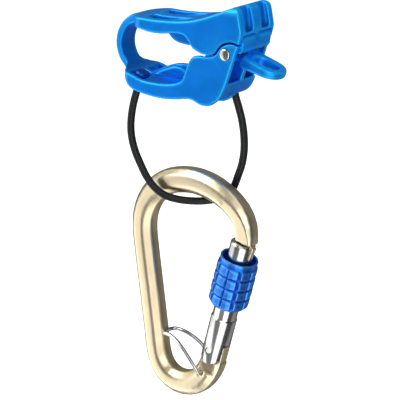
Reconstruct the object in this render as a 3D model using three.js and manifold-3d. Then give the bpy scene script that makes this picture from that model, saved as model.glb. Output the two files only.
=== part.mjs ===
// Assisted braking belay device for two ropes, on its keeper cable a pear-shaped screw-gate carabiner.
// Millimetres, +Z up. X runs along the device towards its head, Y into its depth.
// The device hangs at the origin, where a peg through the window bears on the underside of the upper arm.
import * as THREE from 'three';
import { mergeVertices } from 'three/addons/utils/BufferGeometryUtils.js';
import Module from 'manifold-3d';

const wasm = await Module();
wasm.setup();

// Fits that all pieces share
const clearance = 0.3;
const overrun = 3;
const edgeStep = 1.9;
const weldDistance = 0.0001;

// The folded forging
const bodyLength = 81;
const bodyHeight = 50;
const bodyDepth = 29.5;
const bodyEdge = 1.0;
const outerWall = 2.3;
const middleWall = 2.9;
const ribWidth = 5.4;
const seamGap = 1.1;
const bowRadius = 16;
const bowThickness = 4;
const bowDepth = 12;
const bowDrop = 0.7;
const bowFlare = 1.4;
const bowAngles = [84, 262];
const bowOuterAngles = [95, 252];
const bowInnerAngles = [262, 100];
const upperShoulder = 12;
const lowerShoulder = 8;
const pocketWidth = 7.6;
const pocketEdge = 1.2;
const headGrooveWidth = 7.2;
const headGrooveEdge = 1.8;
const headCorner = 4;

// The guide eye at the forging's right end
const eyeLength = 23.6;
const eyeWidth = 16;
const eyeThickness = 6.6;
const eyeTipThickness = 4.4;
const eyeEdge = 1.6;
const eyeHoleWidth = 8;
const eyeHoleLength = 13.2;
const eyeNeck = 5.2;
const eyeNeckLength = 3.6;
const eyeTilt = 19;

// The closing rivet
const rivetDiameter = 4.8;
const rivetHeadDiameter = 5.6;
const rivetHeadHeight = 0.8;

// The keeper cable and its end ferrules
const cableDiameter = 3.8;
const ferruleDiameter = 5.8;
const ferruleHeadDiameter = 7.2;
const ferruleHeadHeight = 2;
const ferruleLength = 7;
const ferruleBore = 3.4;
const ferruleBossDiameter = 9.4;

// The carabiner frame, measured on the centreline of its bar in shares of the gate's length
const gateLength = 61.8;
const frameWidthShare = 1.0777;
const frameHeightShare = 1.7638;
const barWidth = 13.2;
const barDepth = 11.5;
const noseWidth = 10.6;
const barStep = 4.2;
const frameTurn = -5;
const tangThickness = 5.4;
const camRise = 2.5;

// The gate, along its own axis from the hinge pin
const gateLean = 16.2;
const gateDiameter = 13.4;
const gateNeckDiameter = 12.6;
const gateEdge = 0.7;
const gateOpening = 22;
const noseSweep = 17;
const hingePinDiameter = 3.2;
const slotRoof = 8.4;
const slotRun = 1.5;
const slotSide = 4.7;
const tongueThickness = 3.2;
const tongueInset = 1;
const tongueDepth = 7.3;
const tongueFoot = 6.6;
const tongueHead = 7.5;

// The spring and plunger that close the gate
const plungerDiameter = 3.4;
const plungerLength = 9;
const springWire = 0.6;
const springDiameter = 3.7;
const springTurns = 7;
const springLength = 10;
const springRoom = 0.6;

// The screw sleeve
const sleeveDiameter = 20.8;
const sleeveLength = 27;
const sleeveRimDiameter = 19.4;
const sleeveFootDiameter = 17;
const sleeveFootHeight = 1.1;
const sleeveRimHeight = 2.9;
const sleeveGroove = 1.0;
const sleeveMouth = 6.4;
const sleeveMouthDiameter = 17;
const sleeveGap = 1.3;
const sleeveTravel = 6.2;
const sleeveStop = 0.8;
const sleeveRows = 4;
const sleeveColumns = 10;
const sleevePhase = -8.3;

// The captive wire bail
const bailWire = 1.5;
const bailHoleDepth = 2.4;
const bailTipWidth = 8.2;

// Places on the forging, as shares of its length from the bow and of its height from the lobes
const originShares = [0.315, 0.652];
const bowCentreHeightShare = 0.466;
const rivetShares = [0.888, 0.54];
const onBody = ([x, z]) => new THREE.Vector2(
  (x - originShares[0]) * bodyLength,
  (z - originShares[1]) * bodyHeight,
);

const outlineShares = [
  [0.162, 0.102], [0.184, 0.066], [0.214, 0.048], [0.259, 0.03], [0.34, 0.012], [0.438, 0.006],
  [0.537, 0.022], [0.623, 0.044], [0.667, 0.028], [0.698, 0.006], [0.74, 0], [0.778, 0.014],
  [0.815, 0.052], [0.849, 0.112], [0.877, 0.192], [0.898, 0.272], [0.92, 0.372], [0.941, 0.472],
  [0.957, 0.552], [0.975, 0.616], [0.985, 0.652], [0.989, 0.688], [0.999, 0.736], [0.998, 0.782],
  [0.99, 0.852], [0.98, 0.932], [0.969, 0.982], [0.947, 1], [0.907, 0.978], [0.833, 0.93],
  [0.759, 0.884], [0.698, 0.85], [0.636, 0.822], [0.562, 0.802], [0.463, 0.788], [0.352, 0.782],
  [0.265, 0.786],
];
const windowShares = [
  [0.228, 0.188], [0.278, 0.164], [0.377, 0.156], [0.463, 0.164], [0.537, 0.192], [0.574, 0.228],
  [0.59, 0.292], [0.606, 0.356], [0.626, 0.424], [0.651, 0.472], [0.685, 0.488], [0.73, 0.496],
  [0.704, 0.514], [0.672, 0.532], [0.646, 0.556], [0.628, 0.592], [0.611, 0.632], [0.591, 0.662],
  [0.562, 0.674], [0.5, 0.668], [0.438, 0.654], [0.377, 0.646], [0.315, 0.652], [0.253, 0.67],
];
const seamShares = [
  [0.71, 0.498], [0.768, 0.5], [0.799, 0.514], [0.822, 0.54], [0.837, 0.578], [0.856, 0.612],
  [0.885, 0.64], [0.925, 0.656], [0.957, 0.652], [0.981, 0.634], [1.019, 0.608],
];
const channelShares = [
  [0.154, 0.292], [0.167, 0.204], [0.181, 0.154], [0.216, 0.122], [0.29, 0.1], [0.463, 0.1],
  [0.611, 0.116], [0.735, 0.112], [0.796, 0.128], [0.827, 0.168], [0.846, 0.216], [0.864, 0.24],
  [0.895, 0.242], [1.056, 0.242], [1.056, 0.684], [0.636, 0.688], [0.562, 0.592], [0.216, 0.492],
];
const floorShares = [
  [0.228, 0.086], [0.247, 0.152], [0.29, 0.2], [0.84, 0.2], [0.84, 0.172], [0.809, 0.102], [0.759, 0.086],
];
const bossShares = [
  [0.159, 0.232], [0.172, 0.162], [0.194, 0.108], [0.241, 0.076], [0.29, 0.076], [0.29, 0.232],
];
const floorCrownShare = 0.194;
const floorSideShare = 0.13;
const backLobeCutShares = [
  [0.963, 0.452], [0.92, 0.372], [0.877, 0.282], [0.849, 0.208], [0.817, 0.15], [0.789, 0.104],
  [0.759, 0.066], [0.735, 0.046], [0.691, 0.028], [0.648, 0.02], [0.648, -0.068], [1.031, -0.068],
  [1.031, 0.452],
];
const lobeGapShares = [
  [0.642, -0.068], [0.66, 0.032], [0.698, 0.052], [0.772, 0.052], [0.831, 0.092], [0.868, 0.164],
  [0.885, 0.228], [0.907, 0.282], [1.05, 0.282], [1.05, -0.068],
];
const tongueShares = [
  [0.611, 0.712], [0.617, 0.662], [0.673, 0.6], [0.735, 0.54], [0.809, 0.48], [0.858, 0.45],
  [0.9, 0.452], [0.914, 0.49], [0.928, 0.54], [0.963, 0.558], [0.988, 0.6], [0.989, 0.712],
];
const neckRoomShares = [[0.87, 0.36], [0.945, 0.36], [0.945, 0.545], [0.87, 0.575]];
const headEndShares = [[0.938, 0.712], [0.938, 0.558], [0.98, 0.558], [0.988, 0.58], [0.989, 0.712]];
const headEndGapShares = [[0.932, 0.694], [0.932, 0.552], [1.056, 0.552], [1.056, 0.694]];
const bumpShares = [
  [0.333, 0.692], [0.364, 0.592], [0.401, 0.542], [0.451, 0.518], [0.611, 0.512], [0.735, 0.508],
  [0.735, 0.692],
];
const ribShares = [
  [0.204, 0.112], [0.222, 0.172], [0.278, 0.222], [0.352, 0.276], [0.426, 0.312], [0.512, 0.322],
  [0.574, 0.344], [0.617, 0.402], [0.648, 0.464], [0.685, 0.486], [0.735, 0.484], [0.735, 0.112],
];
const broadRibShares = [
  [0.2, 0.1], [0.222, 0.158], [0.278, 0.206], [0.352, 0.26], [0.426, 0.296], [0.49, 0.27],
  [0.53, 0.2], [0.54, 0.1],
];
const pocketShares = [
  [0.258, 0.892], [0.268, 0.768], [0.288, 0.726], [0.335, 0.715], [0.426, 0.735], [0.525, 0.768],
  [0.623, 0.814], [0.722, 0.878], [0.784, 0.952], [0.784, 1.1], [0.258, 1.1],
];
const headGrooveShares = [[0.965, 0.752], [0.931, 1.06], [1.056, 1.06], [1.056, 0.752]];
const shoulderShares = [
  [0, 0], [0.15, 0.06], [0.3, 0.22], [0.45, 0.45], [0.6, 0.69], [0.75, 0.87], [0.88, 0.965], [1, 1],
];
const upperShoulderShare = 0.262;
const lowerShoulderShare = 0.166;
const eyeRootShares = [0.9, 0.472];
const eyeNeckShares = [[-0.3, 0], [0.45, 0], [0.66, 0.72], [1, 1]];
const seamWallShares = [[0.7, 0.4], [1, 0.4], [1, 0.7], [0.7, 0.7]];
const bowSectionShares = [[1, 0.72], [0.72, 1], [-0.72, 1], [-1, 0.72]];
const rivetCrownShare = 0.6;

// The keeper cable's route, point by point: along X, the share of the way to a channel's middle, and height
const cableRoute = [
  [-8.5, -1, -24.2], [-10.2, -1, -28.6], [-12.2, -1, -34], [-13.9, -1, -39.5],
  [-15.2, -1, -46], [-15.6, -1, -52], [-14.8, -1.007, -58], [-12.7, -1.022, -64],
  [-9.5, -1.022, -70], [-5.6, -1.05, -75.8], [-0.6, -1.022, -80.8], [5, -0.82, -84.2],
  [10.5, -0.504, -85.6], [16, -0.187, -86], [21.5, 0.158, -85.8], [27, 0.604, -84.9],
  [32, 0.95, -83.1], [36.4, 1.079, -78.2], [39.7, 1.036, -71], [42, 1.036, -64.5],
  [43.2, 1.022, -57.5], [43.1, 1.007, -50], [42, 1, -43], [40.2, 1, -37], [38.4, 1, -32],
  [36.4, 1, -25.8],
];

// The carabiner's bar, as shares of its centreline's width and height, from the nose round to the gate
const barCentreShares = [
  [1, 0.76], [1, 0.79], [0.997, 0.828], [0.958, 0.883], [0.875, 0.931], [0.763, 0.968],
  [0.643, 0.991], [0.523, 1], [0.402, 0.994], [0.267, 0.972], [0.147, 0.926], [0.06, 0.863],
  [0.009, 0.787], [0, 0.714], [0.018, 0.617], [0.068, 0.406], [0.111, 0.223], [0.131, 0.131],
  [0.164, 0.072], [0.23, 0.025], [0.32, 0.002], [0.417, 0.001], [0.515, 0.021], [0.598, 0.061],
  [0.662, 0.115], [0.7, 0.17],
];
const barSectionShares = [
  [1, 0.28], [0.93, 0.5], [0.52, 0.92], [0.34, 1], [-0.34, 1], [-0.52, 0.92], [-0.93, 0.5], [-1, 0.28],
];
const noseTaperShare = 0.16;
const hangShares = [0.523, 1];
const hingeShares = [0.712, 0.218];

// The tang, in shares of its reach across the gate and of the gate's tail
const tangOuterShares = [[0.72, -2], [1, -1.1], [1, 0.57]];
const tangInnerShares = [[-0.7, 0], [-0.7, -2]];
const camAngles = [-50, 40];
const camSteps = 9;
const collarShare = 0.5;

// The sleeve's raised blocks, in shares of a row and of a column
const blockShares = [0.04, 0.16, 0.84, 0.96];
const columnShares = [0, 0.08, 0.2, 0.54, 0.88];
const endRowShare = 0.15;

// The bail's pivot and its rest on the spine, and its arch in shares of run, rise and width
const bailPivotShares = [0.618, 0.094];
const bailRestShares = [0.108, 0.234];
const bailReachShare = 1.02;
const bailArchShares = [
  [0.06, 0.16, 1], [0.2, 0.4, 1], [0.38, 0.68, 0.86], [0.6, 0.9, 0.5], [0.8, 1, 0.2], [0.96, 1, 0],
];
const hangPoint = [20, 0, -75.3];
const onFrame = ([x, z]) => new THREE.Vector2(
  (x - hangShares[0]) * frameWidthShare * gateLength,
  (z - hangShares[1]) * frameHeightShare * gateLength,
);

// Anodised and bare finishes
const anodised = (color) => new THREE.MeshStandardMaterial({ color, roughness: 0.35, metalness: 0.8 });
const finishes = {
  blue: anodised(0x0a7df0),
  sleeve: anodised(0x2f6fe8),
  champagne: anodised(0xdcc7a0),
  steel: new THREE.MeshStandardMaterial({ color: 0xc9ccd0, roughness: 0.2, metalness: 1 }),
  coating: new THREE.MeshStandardMaterial({ color: 0x1c1e20, roughness: 0.45, metalness: 0 }),
};

const radians = THREE.MathUtils.degToRad;

// A closed mesh as a solid for joining and cutting
function solid(geometry) {
  const bare = geometry.clone();
  for (const name of ['normal', 'uv']) bare.deleteAttribute(name);
  const merged = mergeVertices(bare, weldDistance);
  return new wasm.Manifold(new wasm.Mesh({
    numProp: 3,
    vertProperties: Float32Array.from(merged.attributes.position.array),
    triVerts: Uint32Array.from(merged.index.array),
  }));
}

// A solid back as a mesh geometry
function surface(manifold) {
  const mesh = manifold.getMesh();
  const geometry = new THREE.BufferGeometry();
  geometry.setAttribute('position', new THREE.BufferAttribute(mesh.vertProperties, 3));
  geometry.setIndex(new THREE.BufferAttribute(mesh.triVerts, 1));
  geometry.computeVertexNormals();
  return geometry;
}

// Points along a smooth line through the given ones, about a step apart
function smooth(points, closed = true, step = edgeStep) {
  const route = points.map((p) => new THREE.Vector3(p.x, p.y, p.z ?? 0));
  const curve = new THREE.CatmullRomCurve3(route, closed, 'centripetal');
  const count = Math.max(8, Math.round(curve.getLength() / step));
  const spaced = curve.getSpacedPoints(count);
  if (closed) spaced.pop();
  return spaced;
}

const flat = (points) => points.map((p) => new THREE.Vector2(p.x, p.y));
const leftHanded = (points) => (THREE.ShapeUtils.isClockWise(points) ? points.reverse() : points);

function arc(centre, radius, from, to) {
  const count = Math.ceil(Math.abs(radians(to - from)) * radius / edgeStep);
  return Array.from({ length: count + 1 }, (_, i) => {
    const a = radians(from + (to - from) * i / count);
    return new THREE.Vector2(centre.x + radius * Math.cos(a), centre.y + radius * Math.sin(a));
  });
}

// A plate with rounded edges: its outline lies in X and Z, and its thickness is centred on Y
function plate(outline, thickness, edge = 0, hole = null, segments = 2) {
  const shape = new THREE.Shape(leftHanded(flat(outline)));
  if (hole) shape.holes.push(new THREE.Path(flat(hole)));
  const geometry = new THREE.ExtrudeGeometry(shape, {
    depth: thickness - 2 * edge,
    bevelEnabled: edge > 0,
    bevelSize: edge,
    bevelThickness: edge,
    bevelOffset: -edge,
    bevelSegments: segments,
  });
  geometry.translate(0, 0, edge - thickness / 2);
  return geometry.rotateX(Math.PI / 2);
}

const slab = (shares, thickness, edge = 0) => solid(plate(smooth(shares.map(onBody)), thickness, edge));
const sharpSlab = (shares, thickness) => solid(plate(shares.map(onBody), thickness));

// A closed skin over rings of points, capped at both ends or joined end to end
function loft(rings, joined = false) {
  const sides = rings[0].length;
  const points = rings.flat();
  const faces = [];
  const last = joined ? rings.length : rings.length - 1;
  for (let r = 0; r < last; r += 1) {
    const next = (r + 1) % rings.length;
    for (let s = 0; s < sides; s += 1) {
      const t = (s + 1) % sides;
      const [a, b, c, d] = [r * sides + s, r * sides + t, next * sides + t, next * sides + s];
      faces.push(a, b, c, a, c, d);
    }
  }
  if (!joined) {
    const ends = [[0, 1], [rings.length - 1, -1]];
    for (const [ring, turn] of ends) {
      const centre = points.length;
      points.push(rings[ring].reduce((sum, p) => sum.add(p), new THREE.Vector3()).divideScalar(sides));
      for (let s = 0; s < sides; s += 1) {
        const pair = [ring * sides + s, ring * sides + (s + 1) % sides];
        faces.push(centre, ...(turn > 0 ? pair.reverse() : pair));
      }
    }
  }
  const geometry = new THREE.BufferGeometry().setFromPoints(points);
  geometry.setIndex(faces);
  geometry.computeVertexNormals();
  return geometry;
}

// A round wire along a route, as an extruded section with eight sides
function wire(route, diameter, step) {
  const curve = new THREE.CatmullRomCurve3(route, false, 'centripetal');
  const sides = 8;
  const section = new THREE.Shape(Array.from({ length: sides }, (_, i) => {
    const a = 2 * Math.PI * i / sides;
    return new THREE.Vector2(diameter / 2 * Math.cos(a), diameter / 2 * Math.sin(a));
  }));
  const steps = Math.round(curve.getLength() / step);
  return new THREE.ExtrudeGeometry(section, { steps, extrudePath: curve, bevelEnabled: false });
}

// A turned piece: its profile pairs are radius and height, and its axis is Z
function turned(profile, segments = 40) {
  return new THREE.LatheGeometry(profile.map(([r, z]) => new THREE.Vector2(r, z)), segments)
    .rotateX(Math.PI / 2);
}

// A round bar along Y
function crossBar(radius, length, segments = 28) {
  return new THREE.CylinderGeometry(radius, radius, length, segments);
}

// Levels that several pieces share
const wallInner = bodyDepth / 2 - outerWall;
const channelWidth = wallInner - middleWall / 2;
const channelPitch = channelWidth + middleWall;
const cablePoints = cableRoute.map(([x, side, z]) => new THREE.Vector3(x, side * channelPitch / 2, z));
const bowCentre = new THREE.Vector2(
  onBody([0, 0]).x + bowRadius,
  onBody([0, bowCentreHeightShare]).y,
);
const windowCentre = new THREE.Vector2(bowCentre.x, bowCentre.y - bowDrop);
const rivetPlace = onBody(rivetShares);

// The bow: a strip of rounded section that joins the two arms
function bow() {
  const outer = arc(bowCentre, bowRadius, ...bowAngles);
  const inner = arc(windowCentre, bowRadius - bowThickness, ...bowAngles);
  const count = Math.min(outer.length, inner.length);
  const rings = Array.from({ length: count }, (_, i) => {
    const share = i / (count - 1);
    const out = outer[Math.round(share * (outer.length - 1))];
    const inside = inner[Math.round(share * (inner.length - 1))];
    const half = bowDepth / 2 + bowFlare * (2 * share - 1) ** 4;
    const mirrored = [...bowSectionShares].reverse().map(([across, deep]) => [across, -deep]);
    return [...bowSectionShares, ...mirrored].map(([across, deep]) => new THREE.Vector3(
      THREE.MathUtils.lerp(inside.x, out.x, (1 + across) / 2),
      deep * half,
      THREE.MathUtils.lerp(inside.y, out.y, (1 + across) / 2),
    ));
  });
  return solid(loft(rings));
}

// The arms' plan, which narrows through a shoulder to the bow
function planMask(shoulderShare, shoulder, low, high) {
  const end = onBody([shoulderShare, 0]).x;
  const start = end - shoulder;
  const narrow = bowDepth / 2 - bodyEdge;
  const side = shoulderShares.map(([along, deep]) => new THREE.Vector2(
    start + along * shoulder,
    THREE.MathUtils.lerp(narrow, bodyDepth / 2, deep),
  ));
  const right = onBody([1, 0]).x + overrun;
  const near = [...side, new THREE.Vector2(right, bodyDepth / 2)];
  const far = near.map((p) => new THREE.Vector2(p.x, -p.y)).reverse();
  const geometry = new THREE.ExtrudeGeometry(new THREE.Shape([...far, ...near]), {
    depth: high - low,
    bevelEnabled: false,
  });
  return solid(geometry.translate(0, 0, low));
}

// A cutter along the seam, where the fold's two ends meet
function seam() {
  const line = smooth(seamShares.map(onBody), false);
  const sides = [1, -1].map((side) => line.map((p, i) => {
    const ahead = line[Math.min(i + 1, line.length - 1)];
    const behind = line[Math.max(i - 1, 0)];
    const along = ahead.clone().sub(behind).normalize();
    return new THREE.Vector2(p.x - along.y * side * seamGap / 2, p.y + along.x * side * seamGap / 2);
  }));
  return solid(plate([...sides[0], ...sides[1].reverse()], bodyDepth + overrun));
}

// A copy of a solid in each rope channel
const inChannels = (piece) => piece.translate(0, channelPitch / 2, 0)
  .add(piece.translate(0, -channelPitch / 2, 0));

// The guide eye: a ring on a short neck out of the middle wall, thinner towards its tip
function guideEye() {
  const half = eyeWidth / 2;
  const neck = eyeNeckShares.map(([along, wide]) => new THREE.Vector2(
    along * eyeNeckLength,
    THREE.MathUtils.lerp(eyeNeck / 2, half, wide),
  ));
  const side = [...neck, ...arc(new THREE.Vector2(eyeLength - half, 0), half, 90, 0)];
  const outline = [...side, ...side.slice(0, -1).reverse().map((p) => new THREE.Vector2(p.x, -p.y))];
  const far = eyeLength - half;
  const near = far - (eyeHoleLength - eyeHoleWidth);
  const hole = [
    ...arc(new THREE.Vector2(far, 0), eyeHoleWidth / 2, 90, -90),
    ...arc(new THREE.Vector2(near, 0), eyeHoleWidth / 2, 270, 90),
  ];
  const ring = plate(outline, eyeThickness, eyeEdge, hole);
  const position = ring.attributes.position;
  for (let i = 0; i < position.count; i += 1) {
    const share = THREE.MathUtils.clamp(position.getX(i) / eyeLength, 0, 1);
    const depth = 1 / 2 - position.getY(i) / eyeThickness;
    const thickness = THREE.MathUtils.lerp(eyeThickness, eyeTipThickness, share);
    position.setY(i, eyeThickness / 2 - depth * thickness);
  }
  const root = onBody(eyeRootShares);
  return solid(ring).rotate(90, 0, 0).rotate(0, eyeTilt, 0).translate(root.x, 0, root.y);
}

// Where a ferrule sits: the cable's first or last point, its direction out of the forging and its tilt
function cableEnd(first) {
  const [inside, next] = first ? cablePoints : [...cablePoints].reverse();
  const out = next.clone().sub(inside).normalize();
  const turn = new THREE.Quaternion().setFromUnitVectors(new THREE.Vector3(0, 0, -1), out);
  return { inside, out, turn };
}

function placed(geometry, end) {
  const move = new THREE.Matrix4().compose(end.inside, end.turn, new THREE.Vector3(1, 1, 1));
  return geometry.clone().applyMatrix4(move);
}

// The stepped hole of a ferrule and its cable in the floor, with a seat for the head above
function ferruleSeat(end) {
  const cableHole = cableDiameter / 2 + 2 * clearance;
  const hole = ferruleDiameter / 2 + clearance;
  const seat = ferruleHeadDiameter / 2 + clearance;
  const [low, step] = [-ferruleLength - overrun, -ferruleBore - clearance];
  const seatFloor = ferruleHeadFloor() - clearance;
  const top = ferruleHeadHeight + ferruleLength;
  return solid(placed(turned([
    [0, low], [cableHole, low], [cableHole, step], [hole, step], [hole, seatFloor],
    [seat, seatFloor], [seat, top], [0, top],
  ], 28), end));
}

// A boss that carries a ferrule's head above the deep end of the floor
function ferruleBoss(end) {
  const radius = ferruleBossDiameter / 2;
  const top = ferruleHeadFloor() - clearance;
  const profile = [[0, -ferruleLength], [radius, -ferruleLength], [radius, top], [0, top]];
  return solid(placed(turned(profile, 28), end));
}

// The underside of a ferrule's head, above the cable's end inside it
function ferruleHeadFloor() {
  return clearance + cableDiameter / 4 - ferruleHeadHeight / 2;
}

function beltOfBody() {
  const outer = arc(bowCentre, bowRadius, ...bowOuterAngles);
  const outline = smooth([...outer, ...outlineShares.map(onBody)]);
  const inner = arc(windowCentre, bowRadius - bowThickness, ...bowInnerAngles);
  const hole = smooth([...inner.reverse(), ...windowShares.map(onBody)]);
  return solid(plate(outline, bodyDepth, bodyEdge, hole));
}

// A long bar along X, from a section seen along X
const longBar = (section) => solid(plate(section, 2 * bodyLength).rotateZ(Math.PI / 2));

// The channels' floor, banked from a crown along the middle wall down to the outer walls
function bankedFloor() {
  const half = bodyDepth / 2 - bodyEdge;
  const [low, side, crown] = [0, floorSideShare, floorCrownShare].map((share) => onBody([0, share]).y);
  const section = [[-half, low], [half, low], [half, side], [0, crown], [-half, side]];
  const roof = longBar(section.map(([y, z]) => new THREE.Vector2(y, z)));
  return roof.intersect(sharpSlab(floorShares, bodyDepth));
}

function belayBody() {
  const middleLevel = bowCentre.y;
  const reach = bodyHeight + overrun;
  const masks = planMask(upperShoulderShare, upperShoulder, middleLevel, reach)
    .add(planMask(lowerShoulderShare, lowerShoulder, -reach, middleLevel + overrun));
  const channel = slab(channelShares, channelWidth);
  const tongue = slab(tongueShares, channelWidth - 2 * clearance, clearance);
  const pocket = slab(pocketShares, pocketWidth, pocketEdge);
  const lobeGap = slab(lobeGapShares, channelWidth);
  const groove = solid(plate(headGrooveShares.map(onBody), headGrooveWidth, headGrooveEdge));
  const headEnd = slab(headEndShares, 2 * wallInner - 2 * clearance);
  const neckRoom = sharpSlab(neckRoomShares, eyeNeck + 2 * seamGap);
  const ends = [true, false].map(cableEnd);
  const boss = ferruleBoss(ends[0]).intersect(sharpSlab(bossShares, bodyDepth));
  const backWall = sharpSlab(backLobeCutShares, channelWidth).translate(0, wallInner + channelWidth / 2, 0);

  let body = beltOfBody().intersect(masks).subtract(seam());
  body = body.subtract(inChannels(channel)).add(bankedFloor()).add(boss).subtract(inChannels(lobeGap));
  body = body.subtract(backWall);
  body = body.subtract(sharpSlab(headEndGapShares, 2 * wallInner));
  body = body.add(slab(bumpShares, middleWall)).add(slab(ribShares, middleWall));
  body = body.add(slab(broadRibShares, ribWidth, pocketEdge));
  body = body.subtract(seam().intersect(sharpSlab(seamWallShares, middleWall)));
  body = body.add(inChannels(tongue).add(headEnd).subtract(neckRoom));
  body = body.subtract(inChannels(pocket)).subtract(inChannels(groove));
  body = body.intersect(headRounding()).add(bow()).add(guideEye());
  const bore = crossBar(rivetDiameter / 2 + clearance, bodyDepth + overrun);
  body = body.subtract(solid(bore.translate(rivetPlace.x, 0, rivetPlace.y)));
  for (const end of ends) body = body.subtract(ferruleSeat(end));
  return body;
}

// A long bar that rounds the head's upper corners, seen along X
function headRounding() {
  const half = bodyDepth / 2;
  const top = onBody([0, 1]).y;
  const low = -bodyHeight - overrun;
  const near = arc(new THREE.Vector2(half - headCorner, top - headCorner), headCorner, 0, 90);
  const far = near.map((p) => new THREE.Vector2(-p.x, p.y)).reverse();
  return longBar([new THREE.Vector2(-half, low), new THREE.Vector2(half, low), ...near, ...far]);
}

function rivet() {
  const half = bodyDepth / 2 + rivetHeadHeight;
  const stem = rivetDiameter / 2;
  const head = rivetHeadDiameter / 2;
  const crown = head * rivetCrownShare;
  const inner = bodyDepth / 2 + clearance;
  const geometry = turned([
    [0, -half], [crown, -half], [head, -inner - clearance / 2], [head, -inner], [stem, -inner],
    [stem, inner], [head, inner], [head, inner + clearance / 2], [crown, half], [0, half],
  ], 32).rotateX(Math.PI / 2);
  return geometry.translate(rivetPlace.x, 0, rivetPlace.y);
}

function ferrule(first) {
  const bore = cableDiameter / 2 + clearance;
  const shank = ferruleDiameter / 2;
  const head = ferruleHeadDiameter / 2;
  const roof = clearance;
  const headFloor = ferruleHeadFloor();
  return placed(turned([
    [bore, roof], [bore, -ferruleBore], [shank, -ferruleBore], [shank, headFloor],
    [head, headFloor], [head, headFloor + ferruleHeadHeight / 2], [shank, headFloor + ferruleHeadHeight],
    [0, headFloor + ferruleHeadHeight], [0, roof], [bore, roof],
  ], 28), cableEnd(first));
}

function keeperCable() {
  return wire(cablePoints, cableDiameter, 2 * cableDiameter);
}

const tailRadius = gateDiameter / 2 + clearance;
const tongueTip = gateLength - tongueDepth;
const sleeveBottom = tongueTip - sleeveGap - sleeveLength;
const gateShoulder = sleeveBottom - sleeveTravel - sleeveStop;
const plungerTip = slotRoof - plungerDiameter / 2;
const collarHeight = plungerTip + plungerLength * collarShare;
const springFoot = collarHeight + clearance;

// Directions of the gate: along it, and across it towards the outside
const gateAlong = new THREE.Vector2(Math.sin(radians(gateLean)), Math.cos(radians(gateLean)));
const gateAcross = new THREE.Vector2(gateAlong.y, -gateAlong.x);
const hinge = onFrame(hingeShares);
const byGate = (across, along) => hinge.clone()
  .addScaledVector(gateAcross, across)
  .addScaledVector(gateAlong, along);

function carabinerFrame() {
  const line = smooth(barCentreShares.map(onFrame), false, barStep);
  const rings = line.map((p, i) => {
    const ahead = line[Math.min(i + 1, line.length - 1)];
    const behind = line[Math.max(i - 1, 0)];
    const along = ahead.clone().sub(behind).normalize();
    const outward = new THREE.Vector3(along.y, 0, -along.x);
    const share = Math.min(1, i / (line.length * noseTaperShare));
    const half = THREE.MathUtils.lerp(noseWidth, barWidth, share) / 2;
    const mirrored = [...barSectionShares].reverse().map(([across, deep]) => [across, -deep]);
    return [...barSectionShares, ...mirrored].map(([across, deep]) => new THREE.Vector3(p.x, 0, p.y)
      .addScaledVector(outward, across * half)
      .add(new THREE.Vector3(0, deep * barDepth / 2, 0)));
  });
  const swing = Math.hypot(gateLength, gateNeckDiameter / 2) + clearance;
  const upright = 90 - gateLean;
  const noseGap = plate([hinge, ...arc(hinge, swing, upright - noseSweep, upright + noseSweep)],
    barDepth + overrun);
  const spread = THREE.MathUtils.radToDeg(Math.asin(tongueFoot / tongueTip));
  const tongue = plate([
    byGate(-tongueInset, gateLength + overrun),
    byGate(-tongueInset, tongueTip),
    ...arc(hinge, tongueTip, upright, upright - spread),
    byGate(tongueHead, gateLength),
  ], tongueThickness);
  const tailRoom = crossBar(tailRadius + 2 * clearance, barDepth + overrun).translate(hinge.x, 0, hinge.y);
  const pinHole = crossBar(hingePinDiameter / 2 + clearance, barDepth).translate(hinge.x, 0, hinge.y);
  return solid(loft(rings)).subtract(solid(noseGap)).subtract(solid(tailRoom))
    .add(solid(tongue)).add(tang()).subtract(solid(pinHole)).subtract(bailHoles());
}

// The tang that the gate straddles: its top is a cam that lifts the plunger as the gate opens
function tang() {
  const reach = gateDiameter / 2 - clearance;
  const side = (shares) => shares.map(([across, along]) => byGate(across * reach, along * tailRadius));
  const camBase = plungerTip - 3 * clearance / 2;
  const cam = Array.from({ length: camSteps + 1 }, (_, i) => {
    const lean = radians(THREE.MathUtils.lerp(...camAngles, i / camSteps));
    const radius = camBase + camRise * Math.min(lean, radians(3 * gateOpening / 2));
    return byGate(-radius * Math.sin(lean), radius * Math.cos(lean));
  });
  return solid(plate([...side(tangOuterShares), ...cam, ...side(tangInnerShares)], tangThickness));
}

const bailPivot = onFrame(bailPivotShares);

function bailHoles() {
  const radius = bailWire / 2 + clearance;
  const depth = bailHoleDepth + clearance;
  const bar = solid(crossBar(radius, 2 * depth, 12).translate(bailPivot.x, 0, bailPivot.y));
  return bar.translate(0, barDepth / 2, 0).add(bar.translate(0, -barDepth / 2, 0));
}

// Lays a piece that is turned about Z along the gate
function alongGate(geometry, height = 0) {
  const place = byGate(0, height);
  return geometry.rotateY(radians(gateLean)).translate(place.x, 0, place.y);
}

// The gate's outline seen along Y: straight sides and a tail that is round about the hinge
function gateOutline() {
  const top = gateLength + overrun;
  const round = arc(hinge, tailRadius, 180 - gateLean, 360 - gateLean);
  return solid(plate([byGate(-tailRadius, top), ...round, byGate(tailRadius, top)], gateDiameter + overrun));
}

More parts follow.
